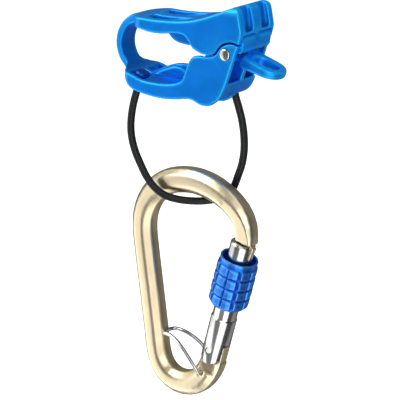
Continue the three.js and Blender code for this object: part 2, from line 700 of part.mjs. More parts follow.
function gateBarrel() {
  const body = gateDiameter / 2;
  const neck = gateNeckDiameter / 2;
  const barrel = solid(alongGate(turned([
    [0, -tailRadius - clearance], [body, -tailRadius - clearance],
    [body, gateShoulder - gateEdge], [body - gateEdge, gateShoulder], [neck, gateShoulder],
    [neck, gateLength - gateEdge], [neck - gateEdge, gateLength], [0, gateLength],
  ], 44)));
  const wide = gateDiameter + overrun;
  const tangSlot = solid(plate([
    byGate(-wide, -wide), byGate(-wide, slotRoof), byGate(slotRun, slotRoof),
    byGate(body, slotSide), byGate(wide, slotSide), byGate(wide, -wide),
  ], tangThickness + 2 * clearance));
  const tongueSlot = solid(plate([
    byGate(-tongueInset - clearance, tongueTip - 3 * clearance),
    byGate(-tongueInset - clearance, gateLength + overrun),
    byGate(wide, gateLength + overrun),
    byGate(wide, tongueTip - 3 * clearance),
  ], tongueThickness + 2 * clearance));
  const boreTop = springFoot + springLength + clearance;
  const bore = solid(alongGate(turned([
    [0, 0], [springDiameter / 2 + springRoom, 0], [springDiameter / 2 + springRoom, boreTop], [0, boreTop],
  ], 20)));
  const pinHole = crossBar(hingePinDiameter / 2 + clearance, wide).translate(hinge.x, 0, hinge.y);
  return barrel.intersect(gateOutline()).subtract(tangSlot).subtract(tongueSlot)
    .subtract(bore).subtract(solid(pinHole));
}

function hingePin() {
  const half = Math.sqrt((gateDiameter / 2) ** 2 - (hingePinDiameter / 2) ** 2);
  const radius = hingePinDiameter / 2;
  return turned([
    [0, -half], [radius - clearance, -half], [radius, clearance - half],
    [radius, half - clearance], [radius - clearance, half], [0, half],
  ], 28).rotateX(Math.PI / 2).translate(hinge.x, 0, hinge.y);
}

// The plunger: its tip rides on the cam, and its shank guides the spring
function gatePlunger() {
  const radius = plungerDiameter / 2;
  const dome = Array.from({ length: 5 }, (_, i) => {
    const a = i / 4 * Math.PI / 2;
    return [radius * Math.sin(a), plungerTip + radius * (1 - Math.cos(a))];
  });
  const top = plungerTip + plungerLength;
  const stem = springDiameter / 2 - springWire - clearance;
  return alongGate(turned([
    ...dome, [radius, collarHeight], [stem, collarHeight], [stem, top], [0, top],
  ], 20));
}

function gateSpring() {
  const low = springFoot + springWire / 2;
  const radius = (springDiameter - springWire) / 2;
  const stepsPerTurn = 8;
  const count = springTurns * stepsPerTurn;
  const height = springLength - springWire;
  const route = Array.from({ length: count + 1 }, (_, i) => new THREE.Vector3(
    radius * Math.cos(i / stepsPerTurn * 2 * Math.PI),
    radius * Math.sin(i / stepsPerTurn * 2 * Math.PI),
    low + height * i / count,
  ));
  const away = new THREE.Vector3();
  const lead = (p, q) => p.clone().add(away.subVectors(p, q).setZ(0).setLength(springWire));
  route.unshift(lead(route[0], route[1]));
  route.push(lead(route.at(-1), route.at(-2)));
  const rings = route.map((p, i) => {
    const along = route[Math.min(i + 1, route.length - 1)].clone()
      .sub(route[Math.max(i - 1, 0)]).normalize();
    const side = new THREE.Vector3(p.x, p.y, 0).normalize();
    const up = new THREE.Vector3().crossVectors(along, side).normalize();
    const out = new THREE.Vector3().crossVectors(up, along);
    return Array.from({ length: 5 }, (_, k) => {
      const a = k * 2 * Math.PI / 5;
      return p.clone()
        .addScaledVector(out, Math.cos(a) * springWire / 2)
        .addScaledVector(up, Math.sin(a) * springWire / 2);
    });
  });
  console.log('spring: least gap between turns', (height / springTurns - springWire).toFixed(2), 'mm');
  return alongGate(loft(rings));
}

// The screw sleeve: rows and columns of raised blocks round a tube
function lockSleeve() {
  const outer = sleeveDiameter / 2;
  const base = outer - sleeveGroove;
  const bore = gateNeckDiameter / 2 + clearance;
  const mouth = sleeveMouthDiameter / 2;
  const rowHeight = (sleeveLength - sleeveFootHeight - sleeveRimHeight) / sleeveRows;
  const steps = columnShares.length;
  const belt = (height, low, high = low) => Array.from({ length: sleeveColumns * steps }, (_, i) => {
    const column = Math.floor(i / steps) + columnShares[i % steps];
    const a = radians(sleevePhase) + column / sleeveColumns * 2 * Math.PI;
    const radius = i % steps > 1 ? high : low;
    return new THREE.Vector3(radius * Math.cos(a), radius * Math.sin(a), sleeveBottom + height);
  });
  const rings = [belt(0, sleeveFootDiameter / 2), belt(sleeveFootHeight, base)];
  for (let row = 0; row < sleeveRows; row += 1) {
    const end = row === 0 || row === sleeveRows - 1;
    const bulge = end ? outer - sleeveGroove * endRowShare : outer;
    const [foot, low, high, head] = blockShares.map((share) => sleeveFootHeight + (row + share) * rowHeight);
    rings.push(belt(foot, base), belt(low, base, bulge), belt(high, base, bulge), belt(head, base));
  }
  rings.push(belt(sleeveLength - sleeveRimHeight, base), belt(sleeveLength, sleeveRimDiameter / 2));
  rings.push(belt(sleeveLength, mouth), belt(sleeveLength - sleeveMouth, mouth));
  rings.push(belt(sleeveLength - sleeveMouth, bore), belt(0, bore));
  return alongGate(loft(rings, true));
}

// The bail: from a hole in the bar, over the basket to the spine and back to the other side's hole
function wireBail() {
  const side = barDepth / 2 + 2 * clearance + bailWire / 2;
  const rest = onFrame(bailRestShares);
  const tip = rest.x + barWidth / 2 * bailReachShare + clearance + bailWire / 2;
  const half = bailArchShares.map(([along, up, wide]) => new THREE.Vector3(
    THREE.MathUtils.lerp(bailPivot.x, tip, along),
    -THREE.MathUtils.lerp(bailTipWidth / 2, side, wide),
    THREE.MathUtils.lerp(bailPivot.y, rest.y, up),
  ));
  const depths = [barDepth / 2 - bailHoleDepth, barDepth / 2 - clearance, side - bailWire / 2];
  const start = depths.map((depth) => new THREE.Vector3(bailPivot.x, -depth, bailPivot.y));
  const near = [...start, ...half];
  const far = near.map((p) => new THREE.Vector3(p.x, -p.y, p.z)).reverse();
  return wire([...near, new THREE.Vector3(tip, 0, rest.y), ...far], bailWire, bailWire);
}

// The scene: the forging and cable as they hang, and the carabiner turned a little about the upright
const device = new THREE.Group();
const carabiner = new THREE.Group();
carabiner.position.set(...hangPoint);
carabiner.rotation.z = radians(frameTurn);
device.add(carabiner);

function addPiece(group, name, geometry, finish) {
  const mesh = new THREE.Mesh(geometry, finish);
  mesh.name = name;
  group.add(mesh);
}

addPiece(device, 'belay_body', surface(belayBody()), finishes.blue);
addPiece(device, 'end_rivet', rivet(), finishes.steel);
addPiece(device, 'left_ferrule', ferrule(true), finishes.steel);
addPiece(device, 'right_ferrule', ferrule(false), finishes.steel);
addPiece(device, 'keeper_cable', keeperCable(), finishes.coating);
addPiece(carabiner, 'carabiner_frame', surface(carabinerFrame()), finishes.champagne);
addPiece(carabiner, 'gate_barrel', surface(gateBarrel()), finishes.steel);
addPiece(carabiner, 'gate_pin', hingePin(), finishes.steel);
addPiece(carabiner, 'gate_plunger', gatePlunger(), finishes.steel);
addPiece(carabiner, 'gate_spring', gateSpring(), finishes.steel);
addPiece(carabiner, 'lock_sleeve', lockSleeve(), finishes.sleeve);
addPiece(carabiner, 'wire_bail', wireBail(), finishes.steel);

export default device;
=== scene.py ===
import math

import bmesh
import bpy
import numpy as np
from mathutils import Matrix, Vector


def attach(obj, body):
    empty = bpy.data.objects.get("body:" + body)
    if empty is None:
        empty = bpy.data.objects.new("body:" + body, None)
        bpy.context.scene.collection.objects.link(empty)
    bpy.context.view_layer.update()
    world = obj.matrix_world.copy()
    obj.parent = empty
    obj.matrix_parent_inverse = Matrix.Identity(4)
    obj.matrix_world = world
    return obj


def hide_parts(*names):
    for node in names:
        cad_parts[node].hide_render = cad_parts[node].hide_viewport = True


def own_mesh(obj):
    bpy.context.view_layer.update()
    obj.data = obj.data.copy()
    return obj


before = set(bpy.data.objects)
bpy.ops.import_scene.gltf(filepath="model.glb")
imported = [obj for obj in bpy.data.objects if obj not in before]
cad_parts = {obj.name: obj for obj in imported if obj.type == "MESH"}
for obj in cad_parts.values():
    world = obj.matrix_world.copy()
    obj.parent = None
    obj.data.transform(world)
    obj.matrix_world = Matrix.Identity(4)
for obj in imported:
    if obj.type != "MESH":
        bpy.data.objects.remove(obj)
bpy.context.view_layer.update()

# %% [markdown]
# # An assisted braking belay device on its screw-gate carabiner
# The frame holds the solids of the real parts: a folded and forged aluminium body for two ropes, a coated
# steel cable that keeps a pear-shaped carabiner, and the carabiner with its gate, screw sleeve and wire
# bail. This lesson dresses them: it gives the forgings their soft edges, the cable its round section and
# each metal its own finish. Blender is in metres, and most sizes here are in millimetres, which MM turns
# into metres.

MM = 0.001
print("nodes:", sorted(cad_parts))

# %% [markdown]
# ## The camera
# The photograph looks down on the device's front from the right. A long lens at about a metre keeps the
# lines nearly parallel, as the photograph does. A camera could be aimed by eye, but this one was worked
# out from the outlines of the device and the carabiner, so its place and turn are written as numbers.

# %% Camera
SENSOR_WIDTH = 36
FOCAL_LENGTH = 175.275
CAMERA_PLACE = Vector((554.62, -761.00, 190.20)) * MM
CAMERA_TURN = (math.radians(73.5), 0, math.radians(35))

camera_data = bpy.data.cameras.new("camera")
camera_data.sensor_width = SENSOR_WIDTH
camera_data.lens = FOCAL_LENGTH
camera = bpy.data.objects.new("camera", camera_data)
camera.location = CAMERA_PLACE
camera.rotation_euler = CAMERA_TURN
bpy.context.scene.collection.objects.link(camera)
bpy.context.scene.camera = camera
print("camera at", tuple(round(v, 3) for v in camera.location))

# %% [markdown]
# ## The keeper cable
# The cable leaves a ferrule at the bow end, hangs in a loop under the carabiner's bar and goes up into a
# second ferrule at the head end. Its route is a list of given points, the same as the solid's. A curve with
# handles could join them, but this line needs no handles: it passes through every point, and uneven spaces
# between the points put no bumps in it.

# %% The cable's route
CABLE_DIAMETER = 3.8 * MM
CABLE_ROUTE = [
    (-8.5, -6.95, -24.2), (-10.2, -6.95, -28.6), (-12.2, -6.95, -34), (-13.9, -6.95, -39.5),
    (-15.2, -6.95, -46), (-15.6, -6.95, -52), (-14.8, -7, -58), (-12.7, -7.1, -64),
    (-9.5, -7.1, -70), (-5.6, -7.3, -75.8), (-0.6, -7.1, -80.8), (5, -5.7, -84.2),
    (10.5, -3.5, -85.6), (16, -1.3, -86), (21.5, 1.1, -85.8), (27, 4.2, -84.9),
    (32, 6.6, -83.1), (36.4, 7.5, -78.2), (39.7, 7.2, -71), (42, 7.2, -64.5),
    (43.2, 7.1, -57.5), (43.1, 7, -50), (42, 6.95, -43), (40.2, 6.95, -37),
    (38.4, 6.95, -32), (36.4, 6.95, -25.8),
]


def smooth_line(points, per_span=6):
    """Points on a smooth line through the given ones, each a blend of the four points round its span."""
    points = [Vector(p) for p in points]
    row = [2 * points[0] - points[1], *points, 2 * points[-1] - points[-2]]
    line = []
    for i in range(len(points) - 1):
        p0, p1, p2, p3 = row[i:i + 4]
        t = [0]
        for a, b in ((p0, p1), (p1, p2), (p2, p3)):
            t.append(t[-1] + (b - a).length ** 0.5)
        for k in range(per_span):
            s = t[1] + (t[2] - t[1]) * k / per_span
            a1 = p0.lerp(p1, (s - t[0]) / (t[1] - t[0]))
            a2 = p1.lerp(p2, (s - t[1]) / (t[2] - t[1]))
            a3 = p2.lerp(p3, (s - t[2]) / (t[3] - t[2]))
            b1 = a1.lerp(a2, (s - t[0]) / (t[2] - t[0]))
            b2 = a2.lerp(a3, (s - t[1]) / (t[3] - t[1]))
            line.append(b1.lerp(b2, (s - t[1]) / (t[2] - t[1])))
    line.append(points[-1].copy())
    return line


def line_length(line):
    """The length along a row of points."""
    return sum((b - a).length for a, b in zip(line, line[1:]))


cable_line = [p * MM for p in smooth_line(CABLE_ROUTE)]
print(f"cable length {line_length(cable_line):.4f} m")

# %% [markdown]
# ## The cable's coating
# The real cable is steel strands inside a soft black coating, so all that shows is a plain tube. Rings of
# points stand square to the line, and each takes its turn from the one before, so that nothing twists. A
# curve with a bevel would look the same, but the mesh also gets a map that runs along the cable, for
# whoever wants a woven or a striped one.


# %% A tube along the line
def tube(name, line, diameter, sides=24):
    """A round tube with closed ends, and a UV map that runs round it and along it in metres."""
    mesh = bpy.data.meshes.new(name)
    piece = bpy.data.objects.new(name, mesh)
    bpy.context.scene.collection.objects.link(piece)
    shape = bmesh.new()
    uv = shape.loops.layers.uv.new("along")
    radius = diameter / 2
    aside = (line[1] - line[0]).orthogonal().normalized()
    rings, reach = [], [0]
    for i, p in enumerate(line):
        along = (line[min(i + 1, len(line) - 1)] - line[max(i - 1, 0)]).normalized()
        aside = (aside - aside.dot(along) * along).normalized()
        over = along.cross(aside)
        rings.append([
            shape.verts.new(p + radius * (math.cos(a) * aside + math.sin(a) * over))
            for a in (k * math.tau / sides for k in range(sides))
        ])
        if i:
            reach.append(reach[-1] + (p - line[i - 1]).length)
    for i in range(len(rings) - 1):
        for k in range(sides):
            n = (k + 1) % sides
            face = shape.faces.new((rings[i][k], rings[i][n], rings[i + 1][n], rings[i + 1][k]))
            face.smooth = True
            around = (k, k + 1, k + 1, k)
            ahead = (i, i, i + 1, i + 1)
            for loop, u, v in zip(face.loops, around, ahead):
                loop[uv].uv = (u / sides * math.pi * diameter, reach[v])
    shape.faces.new(list(reversed(rings[0])))
    shape.faces.new(rings[-1])
    shape.to_mesh(mesh)
    shape.free()
    return piece


cable = tube("cable_sheath", cable_line, CABLE_DIAMETER)
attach(cable, "device")
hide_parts("keeper_cable")
line_length(cable_line)
print("cable faces", len(cable.data.polygons))

# %% [markdown]
# ## Nodes as Python expressions
# Each finish, the world and the floor are trees of nodes. They could be joined by hand in the shader
# editor, but as expressions they stay readable: one class makes arithmetic on sockets look like
# arithmetic, and one method adds any node with its settings and inputs.


# %% Sockets and nodes
class Value:
    """A socket of a node tree on which arithmetic adds Math nodes."""

    def __init__(self, tree, socket):
        self.tree, self.socket = tree, socket

    def math(self, operation, *others, swap=False):
        values = [self, *others]
        if swap:
            values.reverse()
        return self.tree.add("ShaderNodeMath", {"operation": operation}, dict(enumerate(values)))

    def __add__(self, other):
        return self.math("ADD", other)

    def __sub__(self, other):
        return self.math("SUBTRACT", other)

    def __rsub__(self, other):
        return self.math("SUBTRACT", other, swap=True)

    def __mul__(self, other):
        return self.math("MULTIPLY", other)

    __radd__ = __add__
    __rmul__ = __mul__

    def between(self, low, high):
        """0 below low, 1 above high and a smooth step between them."""
        settings = {"interpolation_type": "SMOOTHSTEP"}
        inputs = {"Value": self, "From Min": low, "From Max": high}
        return self.tree.add("ShaderNodeMapRange", settings, inputs)


class Nodes:
    """A node tree and the one method that adds nodes to it."""

    def __init__(self, tree):
        self.tree = tree
        tree.nodes.clear()

    def add(self, kind, settings=None, inputs=None, output=0):
        node = self.tree.nodes.new(kind)
        for key, value in (settings or {}).items():
            setattr(node, key, value)
        for key, value in (inputs or {}).items():
            socket = node.inputs[key]
            if isinstance(value, Value):
                self.tree.links.new(value.socket, socket)
            else:
                socket.default_value = value
        return Value(self, node.outputs[output]) if node.outputs else None


# %% Vectors, mixes, rays and colours
BLACK = (0, 0, 0, 1)
WHITE = (1, 1, 1, 1)


def on_vectors(tree, operation, first, second=None, output=0):
    """A Vector Math node on one vector or two."""
    sockets = {0: first} if second is None else {0: first, 1: second}
    return tree.add("ShaderNodeVectorMath", {"operation": operation}, sockets, output)


def mixed(tree, factor, first, second):
    """A colour that goes from the first to the second as the factor goes from 0 to 1."""
    sockets = {0: factor, 6: first, 7: second}
    return tree.add("ShaderNodeMix", {"data_type": "RGBA"}, sockets, output=2)


def ray_kinds(tree):
    """Whether a ray comes from the camera, and whether a piece has mirrored or bent it."""
    seen, glossy, bent = (
        tree.add("ShaderNodeLightPath", output=f"Is {kind} Ray")
        for kind in ("Camera", "Glossy", "Transmission")
    )
    return seen, glossy.math("MAXIMUM", bent)


def linear(red, green, blue):
    """An sRGB colour in 0 to 255 as the linear one that Blender works in."""
    shares = [c / 255 for c in (red, green, blue)]
    return tuple(c / 12.92 if c <= 0.04045 else ((c + 0.055) / 1.055) ** 2.4 for c in shares)


print("mid grey in linear light:", [round(c, 3) for c in linear(128, 128, 128)])

# %% [markdown]
# ## The room that polished metal shows
# A product photograph like this one has a white sheet under and behind the object, one soft window on the
# left, another behind the camera, and dim walls. Polished metal shows all of them as stripes. Lamps alone
# would leave it black between them, and an image of a room would be a file of its own. So the room is a
# brightness that depends on the level direction in which a mirrored ray leaves.

# %% The room
ROOM_DARK = 0.04
# For each part, its angle from the camera, the cosines at its edge and at its full light, and that light.
ROOM_PARTS = {
    "left window": (-104, 0.84, 0.93, 0.95),
    "window behind the camera": (0, 0.86, 0.93, 0.95),
    "wall behind the object": (180, 0.84, 0.97, 0.12),
    "wall at the front left": (-56, 0.6, 0.95, 0.1),
    "wall on the right": (110, 0.8, 0.98, 0.12),
}


def level_way(degrees):
    """A level direction from the object, as an angle from the camera's own towards the right."""
    # A camera with no turn stands in front of the object, at -90 degrees.
    angle = CAMERA_TURN[2] + math.radians(degrees - 90)
    return Vector((math.cos(angle), math.sin(angle), 0))


def room_light(tree, way):
    """How bright the room looks along a direction."""
    level = on_vectors(tree, "NORMALIZE", on_vectors(tree, "MULTIPLY", way, Vector((1, 1, 0))))
    light = ROOM_DARK
    for degrees, edge, full, brightness in ROOM_PARTS.values():
        share = on_vectors(tree, "DOT_PRODUCT", level, level_way(degrees), output="Value")
        light = share.between(edge, full) * brightness + light
    return light


print("the room has", ", ".join(ROOM_PARTS))

# %% [markdown]
# ## The world
# One even sky would do for a matt object, but metal needs the room. So there are three worlds, chosen by
# the kind of ray: the camera sees white paper, metal sees the room, and matt surfaces get an even grey
# light that leaves their colours alone.

# %% World
PLAIN_LIGHT = 0.45

world = bpy.data.worlds.new("studio")
bpy.context.scene.world = world
world.use_nodes = True
sky = Nodes(world.node_tree)
camera_ray, mirror_ray = ray_kinds(sky)
room = room_light(sky, sky.add("ShaderNodeTexCoord", output="Generated"))
plain, around, backdrop = (
    sky.add("ShaderNodeBackground", inputs={"Color": WHITE, "Strength": strength})
    for strength in (PLAIN_LIGHT, room, 1.0)
)
lit = sky.add("ShaderNodeMixShader", inputs={0: mirror_ray, 1: plain, 2: around})
surface = sky.add("ShaderNodeMixShader", inputs={0: camera_ray, 1: lit, 2: backdrop})
sky.add("ShaderNodeOutputWorld", inputs={"Surface": surface})
print("world nodes", len(world.node_tree.nodes))

# %% [markdown]
# ## The lamps
# Rectangular lamps stand for soft boxes, and give the object its light and shade. Two of them also show in
# the metal as its brightest spots. The others are kept out of it, because each would add a stripe that the
# photograph doesn't have.

# %% Lamps
LAMP_AIM = Vector((20, 0, -80)) * MM
LEFT_PLACE = (-467, -487, 499)


def lamp(name, place, size, power, mirrored=True):
    """A lamp at a place in mm, of a size in metres and a power in watts, which metal mirrors or not."""
    data = bpy.data.lights.new(name, "AREA")
    data.shape = "RECTANGLE"
    data.size, data.size_y = size
    data.energy = power
    light = bpy.data.objects.new(name, data)
    light.location = Vector(place) * MM
    light.rotation_euler = (LAMP_AIM - light.location).to_track_quat("-Z", "Y").to_euler()
    light.visible_camera = False
    light.visible_glossy = mirrored
    bpy.context.scene.collection.objects.link(light)


lamp("left_window", LEFT_PLACE, (0.6, 0.6), 3)
lamp("left_fill", LEFT_PLACE, (0.6, 0.6), 3.6, mirrored=False)
lamp("camera_window", (420, -560, 120), (0.4, 0.4), 0.8)
lamp("top_window", (-60, 60, 720), (0.6, 0.5), 1.6, mirrored=False)
lamp("right_window", (620, 160, 360), (0.5, 0.5), 6, mirrored=False)

# %% [markdown]
# ## The floor
# The object hangs over a white sheet. A plain white surface would turn grey away from the lamps, so to the
# camera it also glows a little, and it still takes a shadow. In mirrored rays it is bright and dark in the
# same directions as the room, so that no edge shows in the metal where the two meet. The floor is large,
# so its sizes are in metres.

# %% Floor
FLOOR_SIZE = 4
FLOOR_HEIGHT = -0.32
FLOOR_TONE = (0.9, 0.9, 0.9, 1)
CAMERA_GLOW = 0.7
MIRROR_GLOW = 0.5
OBJECT_MIDDLE = Vector((0.02, 0, -0.1))

bpy.ops.object.select_all(action="DESELECT")
bpy.ops.mesh.primitive_plane_add(size=FLOOR_SIZE, location=(0, 0, FLOOR_HEIGHT))
floor = bpy.context.object
floor.name = "floor"
bpy.ops.object.transform_apply(location=True)
paper = bpy.data.materials.new("paper")
paper.use_nodes = True
sheet = Nodes(paper.node_tree)
camera_ray, mirror_ray = ray_kinds(sheet)
spot = sheet.add("ShaderNodeTexCoord", output="Object")
ahead = on_vectors(sheet, "NORMALIZE", on_vectors(sheet, "SUBTRACT", spot, OBJECT_MIDDLE))
lit_share = room_light(sheet, ahead)
tint = mixed(sheet, 1 - mirror_ray * (1 - lit_share), BLACK, FLOOR_TONE)
matt = sheet.add("ShaderNodeBsdfDiffuse", inputs={"Color": tint})
glow = sheet.add("ShaderNodeEmission", inputs={
    "Color": WHITE, "Strength": camera_ray * CAMERA_GLOW + mirror_ray * lit_share * MIRROR_GLOW,
})
surface = sheet.add("ShaderNodeAddShader", inputs={0: matt, 1: glow})
sheet.add("ShaderNodeOutputMaterial", inputs={"Surface": surface})
floor.data.materials.append(paper)
print("floor at", floor.data.vertices[0].co.z)

# %% [markdown]
# ## The finishes
# The forgings are anodised: dye under a clear oxide skin, so the metal shines through in its colour, with
# the fine grain that tumbling leaves. Their grooves and broad hollows are painted darker, as shade, and
# their edges paler, partly as wear and partly as a painted highlight. The gate and the wires are polished,
# and the gate's drawing marks run along it. Each finish could be a tree of its own, but they differ only in
# tones, gloss and grain, so one function makes them all. It reads edges and grooves from attributes of the
# mesh, so that the paler edges and the painted shade sit where the shape has its edges and grooves.

# %% A metal finish
CLOUD_SCALE = 110.0
GRAIN_SIZE = 0.3 * MM
BUMP_DEPTH = 0.05 * MM
# Heights in mm over which an edge turns paler, as wear and painted highlight, and depths over which a
# groove or a broad hollow turns dark with painted shade.
WEAR_AND_HIGHLIGHT_HEIGHTS = (0.02, 0.22)
SHADED_GROOVE_DEPTHS = (0.03, 0.3)
SHADED_HOLLOW_DEPTHS = (0.25, 0.9)
# What the grain, the clouds and the grooves add to the roughness.
GRAIN_SHARE, CLOUD_SHARE, GROOVE_SHARE = 0.1, 0.06, 0.08
NOISE_MEAN = 0.5


def metal(name, base, edge, groove_shade, roughness, metallic=1, grain=0.12, stretch=(1, 1, 1), lean=0):
    """A finish with its own tones on flats, edges and grooves, an even grain and an uneven gloss."""
    material = bpy.data.materials.new(name)
    material.use_nodes = True
    tree = Nodes(material.node_tree)
    place = tree.add("ShaderNodeTexCoord", output="Object")
    drawn = tree.add("ShaderNodeMapping", inputs={
        "Vector": place, "Rotation": (0, math.radians(lean), 0), "Scale": stretch,
    })
    height, broad = (
        tree.add("ShaderNodeAttribute", {"attribute_name": layer}, output="Fac")
        for layer in ("relief", "hollow")
    )
    clouds = tree.add("ShaderNodeTexNoise", inputs={"Vector": place, "Scale": CLOUD_SCALE, "Detail": 4.0})
    fine = tree.add("ShaderNodeTexNoise", inputs={
        "Vector": drawn, "Scale": 1 / GRAIN_SIZE, "Detail": 2.0, "Roughness": 0.6,
    })
    flat_tone, wear_and_highlight_tone, groove_shade_tone = ((*linear(*tone), 1) for tone in (base, edge, groove_shade))
    cloud_tone = (*(0.9 * c for c in flat_tone[:3]), 1)
    flats = mixed(tree, clouds.between(0.3, 0.7), cloud_tone, flat_tone)
    # Edges turn paler: partly wear, partly a painted highlight.
    wear_and_highlight = height.between(*WEAR_AND_HIGHLIGHT_HEIGHTS) * fine.between(-0.2, 0.7)
    # Grooves and broad hollows turn darker: painted shade. The same mask makes them a little rougher.
    painted_shade_mask = (0 - height).between(*SHADED_GROOVE_DEPTHS).math("MAXIMUM", (0 - broad).between(*SHADED_HOLLOW_DEPTHS))
    colour = mixed(tree, painted_shade_mask, mixed(tree, wear_and_highlight, flats, wear_and_highlight_tone), groove_shade_tone)
    bump = tree.add("ShaderNodeBump", inputs={"Strength": grain, "Distance": BUMP_DEPTH, "Height": fine})
    even = roughness - NOISE_MEAN * (GRAIN_SHARE + CLOUD_SHARE)
    gloss = fine * GRAIN_SHARE + clouds * CLOUD_SHARE + painted_shade_mask * GROOVE_SHARE + even
    shader = tree.add("ShaderNodeBsdfPrincipled", inputs={
        "Base Color": colour, "Metallic": metallic, "Roughness": gloss, "Normal": bump,
        "Specular IOR Level": 0.3,
    })
    tree.add("ShaderNodeOutputMaterial", inputs={"Surface": shader})
    return material


print("grain", round(GRAIN_SIZE / MM, 2), "mm and clouds", round(1 / CLOUD_SCALE / MM, 1), "mm across")

# %% [markdown]
# ## The tones
# The device is dyed a clear blue, the sleeve a deeper one, and the carabiner a pale champagne that lets
# more of the metal through. The gate, its pin and the rivet are bare and polished, the bail is bright drawn
# wire, the spring and the plunger are duller, and the ferrules are blued. The cable's coating is black
# plastic with a slight sheen, so it is made with no metal in it. Each finish has three tones: for flats,
# for edges, which are paler as wear and as a painted highlight, and for grooves, which hold painted shade.

# %% The finishes of this object
# The gate leans by so many degrees, and the grain is drawn out 25 times along it.
GATE_LEAN = 16.2
ALONG_GATE = (1, 1, 1 / 25)

# In each finish the second tone paints the edges paler, as wear and highlight, and the third paints shade
# into grooves and hollows.
blue = metal(
    "blue_anodised", (0, 137, 248), (30, 170, 252), (2, 84, 156), roughness=0.42, metallic=0.75,
)
champagne = metal(
    "champagne_anodised", (232, 214, 178), (242, 231, 201), (188, 162, 130), roughness=0.3,
    metallic=0.97, grain=0.06,
)
sleeve_blue = metal(
    "sleeve_anodised", (34, 120, 238), (84, 156, 246), (10, 66, 166), roughness=0.34, metallic=0.9,
)
polished = metal(
    "polished_steel", (224, 224, 224), (236, 236, 236), (120, 120, 120), roughness=0.16,
    grain=0.05, stretch=ALONG_GATE, lean=-GATE_LEAN,
)
steel = metal("satin_steel", (150, 146, 138), (190, 186, 178), (70, 66, 60), roughness=0.3)
drawn_wire = metal(
    "drawn_wire", (214, 214, 216), (226, 226, 228), (90, 90, 92), roughness=0.2, grain=0.05,
)
blued_steel = metal(
    "blued_steel", (4, 88, 184), (30, 120, 214), (2, 50, 120), roughness=0.4, metallic=0.75,
)
coating = metal(
    "cable_coating", (22, 24, 26), (34, 36, 40), (12, 13, 14), roughness=0.4, metallic=0, grain=0.2,
)
cable.data.materials.append(coating)
print("finishes", [material.name for material in bpy.data.materials])

# %% [markdown]
# ## The relief of a piece
# An edge stands out of the surface round it, and a groove lies below it, and the finishes paint the one
# paler, as wear and highlight, and the other darker, as shade. Averaging each point with its neighbours
# over and over gives that surface: a few rounds show the edges, and many show broad hollows.
# Both could be painted by hand, but worked out they are true heights and the same in every run. Only the
# remeshed pieces get them. On the others the finish finds no heights, and stays even.


# %% Relief
def relief(piece, **reaches):
    """Stores how far each point stands out of the surface round it, in millimetres, at each reach."""
    mesh = piece.data
    count = len(mesh.vertices)
    place = np.empty(3 * count)
    normal = np.empty(3 * count)
    ends = np.empty(2 * len(mesh.edges), dtype=np.int32)
    mesh.vertices.foreach_get("co", place)
    mesh.vertices.foreach_get("normal", normal)
    mesh.edges.foreach_get("vertices", ends)
    place, normal, ends = place.reshape(-1, 3), normal.reshape(-1, 3), ends.reshape(-1, 2)
    links = np.bincount(ends.ravel(), minlength=count)
    mean = place.copy()
    done = 0
    for name, rounds in reaches.items():
        for _ in range(rounds - done):
            for axis in range(3):
                values = mean[:, axis]
                total = np.bincount(ends[:, 0], values[ends[:, 1]], count)
                total += np.bincount(ends[:, 1], values[ends[:, 0]], count)
                mean[:, axis] = total / links
        done = rounds
        height = ((place - mean) * normal).sum(axis=1) / MM
        layer = mesh.attributes.new(name, "FLOAT", "POINT")
        layer.data.foreach_set("value", height)
        low, high = np.percentile(height, (2, 98))
        print(f"{piece.name}: {name} {low:.2f} to {high:.2f} mm")


RELIEF_ROUNDS = {"relief": 30, "hollow": 150}
print("rounds", RELIEF_ROUNDS)

# %% [markdown]
# ## Refined copies of the solids
# A forging has no sharp edges. Its solid is copied, merged and remeshed to an even net, which is then
# smoothed, so that every edge turns soft. A bevel could round the edges too, but it breaks where many small
# faces meet, and the net doesn't. Turned and milled pieces keep crisp edges, so theirs get a narrow bevel.


# %% A merged copy
def make_active(piece):
    """Selects this piece alone, so that operators act on it."""
    bpy.ops.object.select_all(action="DESELECT")
    bpy.context.view_layer.objects.active = piece
    piece.select_set(True)


def copied(node, name):
    """A merged copy of a node's solid as a piece of its own, selected and active."""
    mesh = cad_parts[node].data.copy()
    mesh.materials.clear()
    piece = bpy.data.objects.new(name, mesh)
    bpy.context.scene.collection.objects.link(piece)
    make_active(piece)
    bpy.ops.object.mode_set(mode="EDIT")
    bpy.ops.mesh.select_all(action="SELECT")
    bpy.ops.mesh.remove_doubles(threshold=1e-6)
    bpy.ops.object.mode_set(mode="OBJECT")
    return piece


def apply(piece, kind, name, **settings):
    """Adds a modifier with these settings and applies it."""
    modifier = piece.modifiers.new(name, kind)
    for key, value in settings.items():
        setattr(modifier, key, value)
    bpy.ops.object.modifier_apply(modifier=modifier.name)


# %% Specks and weights
def largest_part(piece):
    """The piece without the loose specks that remeshing can leave inside a wall."""
    name = piece.name
    bpy.ops.object.mode_set(mode="EDIT")
    bpy.ops.mesh.select_all(action="SELECT")
    bpy.ops.mesh.separate(type="LOOSE")
    bpy.ops.object.mode_set(mode="OBJECT")
    parts = sorted(bpy.context.selected_objects, key=lambda part: len(part.data.vertices))
    for speck in parts[:-1]:
        bpy.data.objects.remove(speck)
    parts[-1].name = name
    bpy.context.view_layer.objects.active = parts[-1]
    print(name, "specks removed", len(parts) - 1)
    return parts[-1]


def weigh(piece, name, share):
    """Gives the points weights in a group, in tenths."""
    place = np.empty(3 * len(piece.data.vertices))
    piece.data.vertices.foreach_get("co", place)
    tenths = np.rint(10 * share(place.reshape(-1, 3) / MM))
    group = piece.vertex_groups.new(name=name)
    for tenth in range(1, 11):
        group.add(np.flatnonzero(tenths == tenth).tolist(), tenth / 10, "REPLACE")


# %% Forged and machined copies
TRIANGLE_LIMIT = 190000
SOFTER_TIMES = 4


